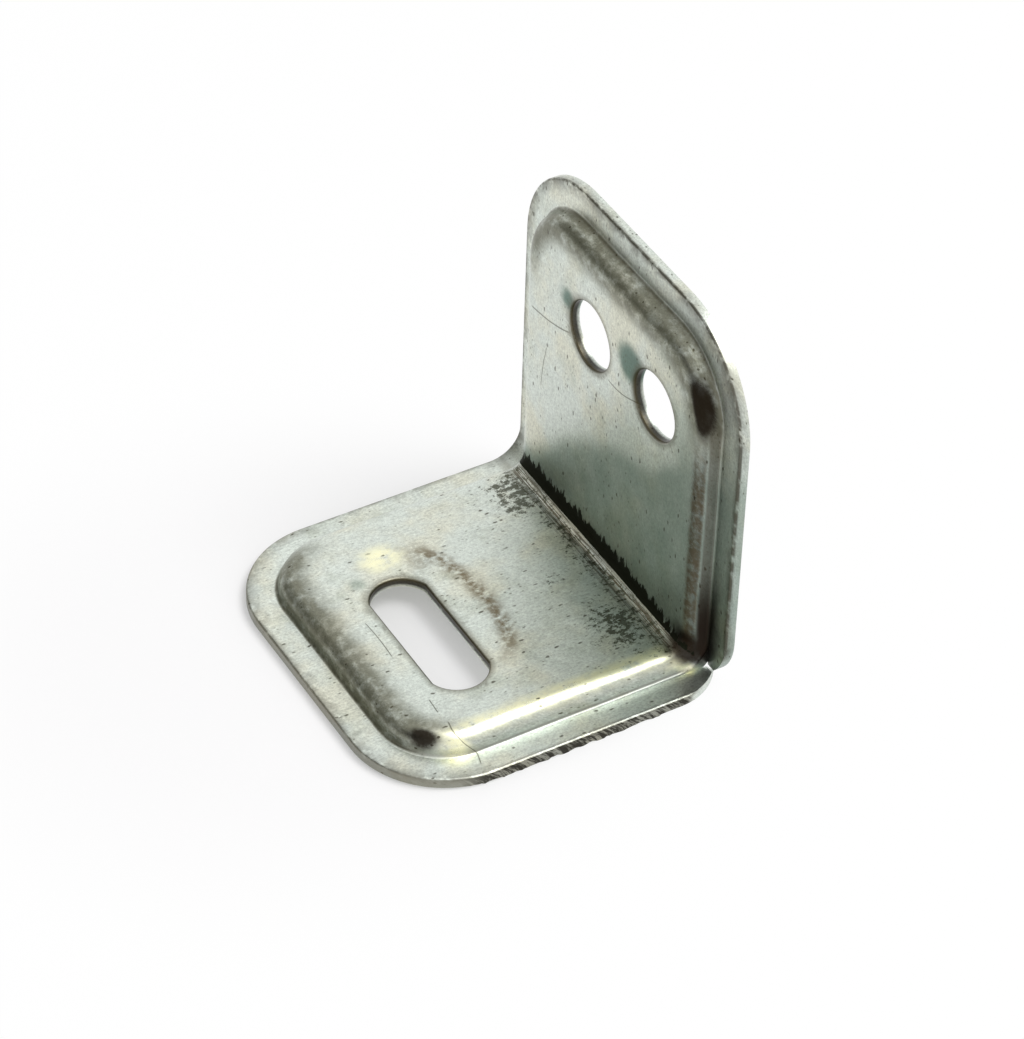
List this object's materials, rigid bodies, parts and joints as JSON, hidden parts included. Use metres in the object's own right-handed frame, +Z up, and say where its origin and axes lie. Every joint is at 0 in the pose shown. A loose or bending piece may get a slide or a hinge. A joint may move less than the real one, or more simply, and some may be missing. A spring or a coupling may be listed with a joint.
{
  "type": "angle bracket",
  "caption": "Pressed sheet-metal angle bracket with a raised panel through the fold, screw holes and a slot.",
  "frame": {"origin": "middle of the footprint's rectangle, on the surface that the flat leg lies on", "axes": "+X along the fold towards the notched end, -Y out along the flat leg, +Z up the upright leg"},
  "size_m": [0.03, 0.0278, 0.0313],
  "materials": {
    "zinc_plate": "worn satin zinc plate, greenish grey"
  },
  "bodies": {
    "root": {"bracket": "zinc_plate"}
  },
  "joints": []
}
